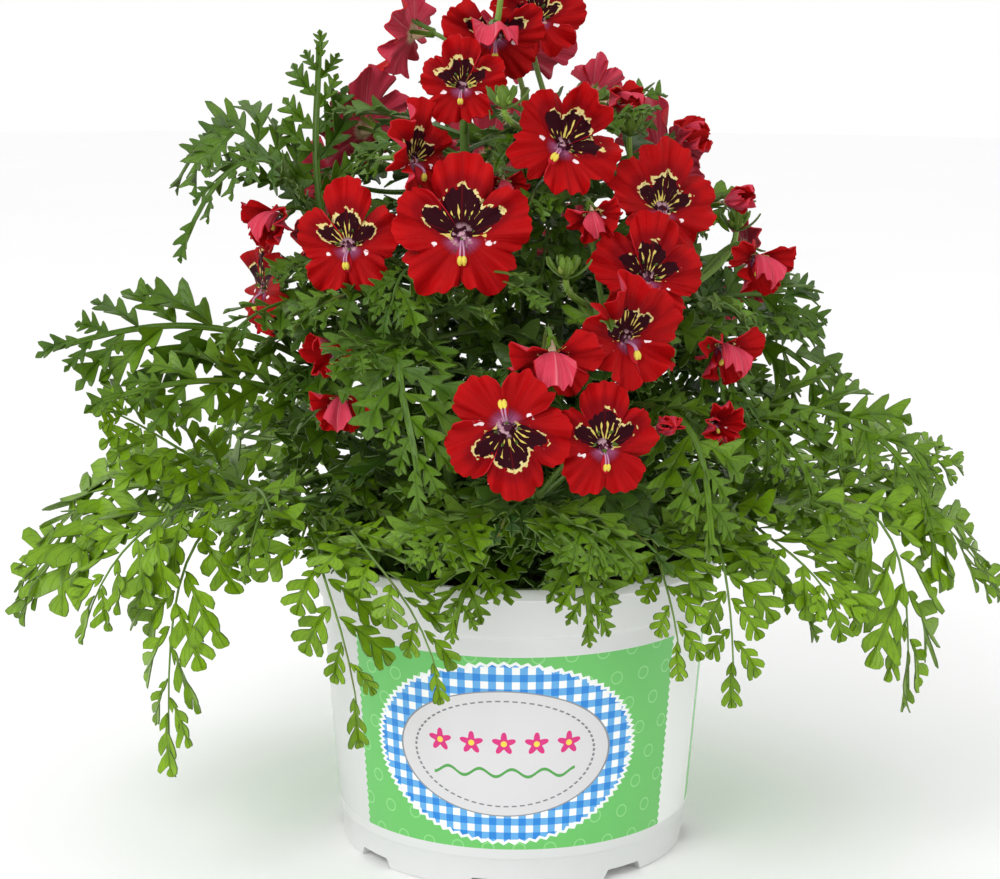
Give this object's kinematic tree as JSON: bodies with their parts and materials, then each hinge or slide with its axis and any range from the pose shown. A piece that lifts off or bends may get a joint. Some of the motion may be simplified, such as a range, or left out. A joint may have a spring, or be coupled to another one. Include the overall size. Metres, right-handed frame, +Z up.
{
  "type": "potted butterfly flower",
  "caption": "Dwarf butterfly flower with red two-lipped blooms and ferny leaves, growing in a small round white plastic nursery pot.",
  "frame": {"origin": "centre of the flat underside of the pot, on the surface that it stands on", "axes": "+Z up along the pot's axis; -Y towards the viewer of the picture (the front of the plant and of the label); +X to that viewer's right"},
  "size_m": [0.2816, 0.2102, 0.2509],
  "materials": {
    "pot_plastic": "semi-gloss white",
    "soil_mix": "damp crumbly potting mix",
    "leaf_green": "satin, finely hairy",
    "petal_red": "velvety",
    "bud_rose": "velvety"
  },
  "bodies": {
    "root": {"pot": "pot_plastic", "soil": "soil_mix", "leafy_stem_01": "leaf_green", "leafy_stem_02": "leaf_green", "leafy_stem_03": "leaf_green", "leafy_stem_04": "leaf_green", "leafy_stem_05": "leaf_green", "leafy_stem_06": "leaf_green", "leafy_stem_07": "leaf_green", "leafy_stem_08": "leaf_green", "leafy_stem_09": "leaf_green", "leafy_stem_10": "leaf_green", "leafy_stem_11": "leaf_green", "leafy_stem_12": "leaf_green", "leafy_stem_13": "leaf_green", "leafy_stem_14": "leaf_green", "bloom_01": "petal_red", "bloom_02": "petal_red", "bloom_03": "petal_red", "bloom_04": "petal_red", "bloom_05": "petal_red", "bloom_06": "petal_red", "bloom_07": "petal_red", "bloom_08": "petal_red", "bloom_09": "petal_red", "bloom_10": "petal_red", "bloom_11": "petal_red", "bloom_12": "petal_red", "bloom_13": "petal_red", "bloom_14": "petal_red", "bloom_15": "petal_red", "bloom_16": "petal_red", "bloom_17": "petal_red", "bloom_18": "petal_red", "bloom_19": "petal_red", "bloom_20": "petal_red", "bloom_21": "petal_red", "bud_01": "bud_rose", "bud_02": "bud_rose", "bud_03": "bud_rose", "bud_04": "bud_rose", "bud_05": "bud_rose", "bud_06": "bud_rose", "bud_07": "bud_rose", "bud_08": "bud_rose", "bud_09": "bud_rose", "bud_10": "bud_rose", "bud_11": "bud_rose", "bud_12": "bud_rose", "bud_13": "bud_rose", "bud_14": "bud_rose", "bud_15": "bud_rose", "bud_16": "bud_rose"}
  },
  "joints": []
}
